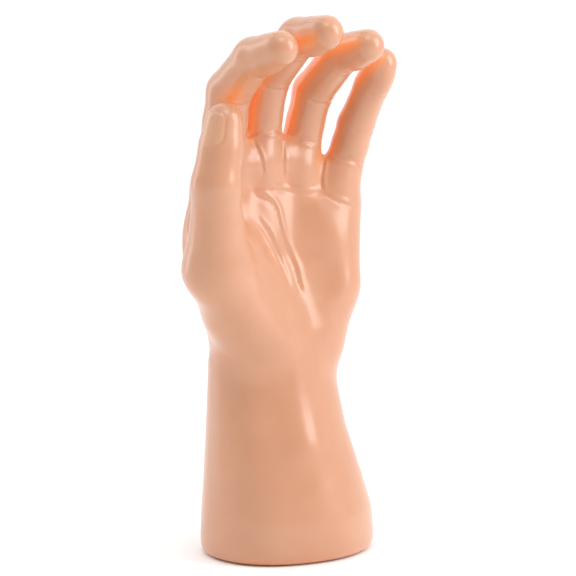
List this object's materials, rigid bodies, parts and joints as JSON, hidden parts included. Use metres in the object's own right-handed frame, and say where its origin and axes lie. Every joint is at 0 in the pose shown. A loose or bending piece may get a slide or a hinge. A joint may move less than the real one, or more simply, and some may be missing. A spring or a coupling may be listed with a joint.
{
  "type": "passive prosthetic hand",
  "caption": "Left prosthetic hand in a smooth skin-coloured glove, with a posable thumb and fingers, a turning wrist and a forearm cuff that stands on its base.",
  "frame": {"origin": "middle of the base's socket bolts, on the face that the part stands on", "axes": "+Z from the cuff up to the fingertips, palm towards -Y, thumb towards -X"},
  "size_m": [0.1094, 0.0885, 0.2536],
  "materials": {
    "skin": "smooth glossy vinyl",
    "foam": "open-cell foam",
    "laminate": "satin laminate",
    "alloy": "machined",
    "steel": "turned",
    "screw_steel": "zinc plated",
    "bronze": "satin",
    "acetal": "smooth"
  },
  "bodies": {
    "cuff": {"forearm_glove": "skin", "forearm_shell": "laminate", "base_plate": "alloy", "base_screws": "screw_steel", "wrist_housing": "alloy", "friction_bush": "acetal"},
    "hand": {"wrist_spindle": "steel", "spindle_washer": "bronze", "spindle_nut": "steel", "palm_frame": "alloy", "frame_screws": "screw_steel", "palm_foam_front": "foam", "palm_foam_back": "foam", "palm_glove": "skin", "knuckle_screws": "screw_steel", "hinge_washers": "bronze", "thumb_bracket": "alloy", "thumb_screws": "screw_steel", "thumb_washers": "bronze", "index_knuckle": "alloy", "middle_knuckle": "alloy", "ring_knuckle": "alloy", "little_knuckle": "alloy", "index_pin": "steel", "middle_pin": "steel", "ring_pin": "steel", "little_pin": "steel", "thumb_pin": "steel"},
    "index": {"index_rod": "steel", "index_core": "foam", "index_glove": "skin"},
    "middle": {"middle_rod": "steel", "middle_core": "foam", "middle_glove": "skin"},
    "ring": {"ring_rod": "steel", "ring_core": "foam", "ring_glove": "skin"},
    "little": {"little_rod": "steel", "little_core": "foam", "little_glove": "skin"},
    "thumb": {"thumb_rod": "steel", "thumb_core": "foam", "thumb_glove": "skin"}
  },
  "joints": [
    {"name": "wrist_rotation", "type": "hinge", "parent": "cuff", "child": "hand", "pos_m": [-0.005, 0.004, 0.092], "axis": [0, 0, 1], "range_deg": [-40, 40]},
    {"name": "index_flex", "type": "hinge", "parent": "hand", "child": "index", "pos_m": [-0.03477, -0.00285, 0.20627], "axis": [0.998, 0.0523, 0.0349], "range_deg": [0, 25]},
    {"name": "middle_flex", "type": "hinge", "parent": "hand", "child": "middle", "pos_m": [-0.01222, 0.00009, 0.20843], "axis": [0.9985, 0.0523, 0.0174], "range_deg": [0, 25]},
    {"name": "ring_flex", "type": "hinge", "parent": "hand", "child": "ring", "pos_m": [0.01136, -0.00185, 0.20428], "axis": [0.9986, 0.0523, 0], "range_deg": [0, 25]},
    {"name": "little_flex", "type": "hinge", "parent": "hand", "child": "little", "pos_m": [0.0296, -0.0094, 0.19322], "axis": [0.998, 0.0523, -0.0349], "range_deg": [0, 25]},
    {"name": "thumb_opposition", "type": "hinge", "parent": "hand", "child": "thumb", "pos_m": [-0.05052, -0.01903, 0.15913], "axis": [0.5783, 0.7667, 0.2789], "range_deg": [0, 30]}
  ]
}
